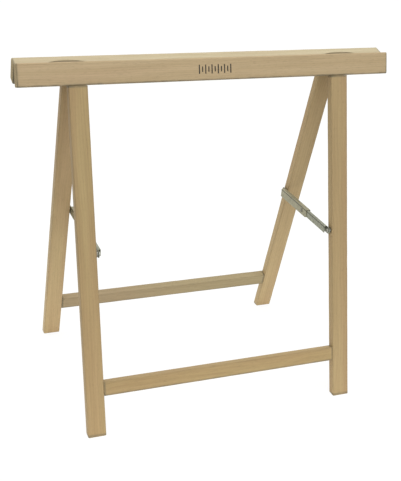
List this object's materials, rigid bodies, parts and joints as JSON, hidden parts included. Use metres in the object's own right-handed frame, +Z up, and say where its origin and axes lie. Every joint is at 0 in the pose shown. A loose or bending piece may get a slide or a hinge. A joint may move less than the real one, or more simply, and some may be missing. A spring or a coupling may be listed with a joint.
{
  "type": "work trestle",
  "caption": "Folding wooden work trestle: hinged front and rear timber frames with splayed legs, low cross rails and folding steel stays.",
  "frame": {"origin": "on the floor, under the middle of the open trestle", "axes": "+X along the top rails to the right as seen from the front, +Y from the front frame to the rear frame, +Z up"},
  "size_m": [0.8, 0.4468, 0.73],
  "materials": {
    "rail_timber": "planed, unfinished, satin",
    "leg_timber": "planed, unfinished, satin",
    "galvanised_steel": "galvanised sheet",
    "zinc_plated_steel": "bright zinc plated"
  },
  "bodies": {
    "front_frame": {"front_top_rail": "rail_timber", "front_left_leg": "leg_timber", "front_right_leg": "leg_timber", "front_cross_rail": "leg_timber", "left_hinge_front_leaf": "galvanised_steel", "right_hinge_front_leaf": "galvanised_steel", "left_hinge_pin": "zinc_plated_steel", "right_hinge_pin": "zinc_plated_steel", "left_hinge_front_screw_1": "zinc_plated_steel", "left_hinge_front_screw_2": "zinc_plated_steel", "right_hinge_front_screw_1": "zinc_plated_steel", "right_hinge_front_screw_2": "zinc_plated_steel", "left_stay_front_spacer": "zinc_plated_steel", "left_stay_front_screw": "zinc_plated_steel", "right_stay_front_spacer": "zinc_plated_steel", "right_stay_front_screw": "zinc_plated_steel"},
    "rear_frame": {"rear_top_rail": "rail_timber", "rear_left_leg": "leg_timber", "rear_right_leg": "leg_timber", "rear_cross_rail": "leg_timber", "left_hinge_rear_leaf": "galvanised_steel", "right_hinge_rear_leaf": "galvanised_steel", "left_hinge_rear_screw_1": "zinc_plated_steel", "left_hinge_rear_screw_2": "zinc_plated_steel", "right_hinge_rear_screw_1": "zinc_plated_steel", "right_hinge_rear_screw_2": "zinc_plated_steel"},
    "left_stay_front": {"left_stay_front_link": "galvanised_steel", "left_stay_knuckle_rivet": "zinc_plated_steel"},
    "right_stay_front": {"right_stay_front_link": "galvanised_steel", "right_stay_knuckle_rivet": "zinc_plated_steel"},
    "left_stay_rear": {"left_stay_rear_link": "galvanised_steel", "left_stay_rear_spacer": "zinc_plated_steel", "left_stay_rear_screw": "zinc_plated_steel"},
    "right_stay_rear": {"right_stay_rear_link": "galvanised_steel", "right_stay_rear_spacer": "zinc_plated_steel", "right_stay_rear_screw": "zinc_plated_steel"}
  },
  "joints": [
    {"name": "fold", "type": "hinge", "parent": "front_frame", "child": "rear_frame", "pos_m": [0, 0, 0.71764], "axis": [-1, 0, 0], "range_deg": [0, 30.8]},
    {"name": "left_stay_front_pivot", "type": "hinge", "parent": "front_frame", "child": "left_stay_front", "pos_m": [-0.257, -0.11375, 0.36343], "axis": [1, 0, 0], "range_deg": [0, 66.72]},
    {"name": "right_stay_front_pivot", "type": "hinge", "parent": "front_frame", "child": "right_stay_front", "pos_m": [0.257, -0.11375, 0.36343], "axis": [1, 0, 0], "range_deg": [0, 66.72]},
    {"name": "left_stay_knuckle", "type": "hinge", "parent": "left_stay_front", "child": "left_stay_rear", "pos_m": [-0.257, 0, 0.36343], "axis": [-1, 0, 0], "range_deg": [0, 164.24]},
    {"name": "right_stay_knuckle", "type": "hinge", "parent": "right_stay_front", "child": "right_stay_rear", "pos_m": [0.257, 0, 0.36343], "axis": [-1, 0, 0], "range_deg": [0, 164.24]}
  ],
  "couplings": [
    {"joint": "left_stay_front_pivot", "follows": "fold", "ratio": 2.1661},
    {"joint": "right_stay_front_pivot", "follows": "fold", "ratio": 2.1661},
    {"joint": "left_stay_knuckle", "follows": "fold", "ratio": 5.3323},
    {"joint": "right_stay_knuckle", "follows": "fold", "ratio": 5.3323}
  ]
}
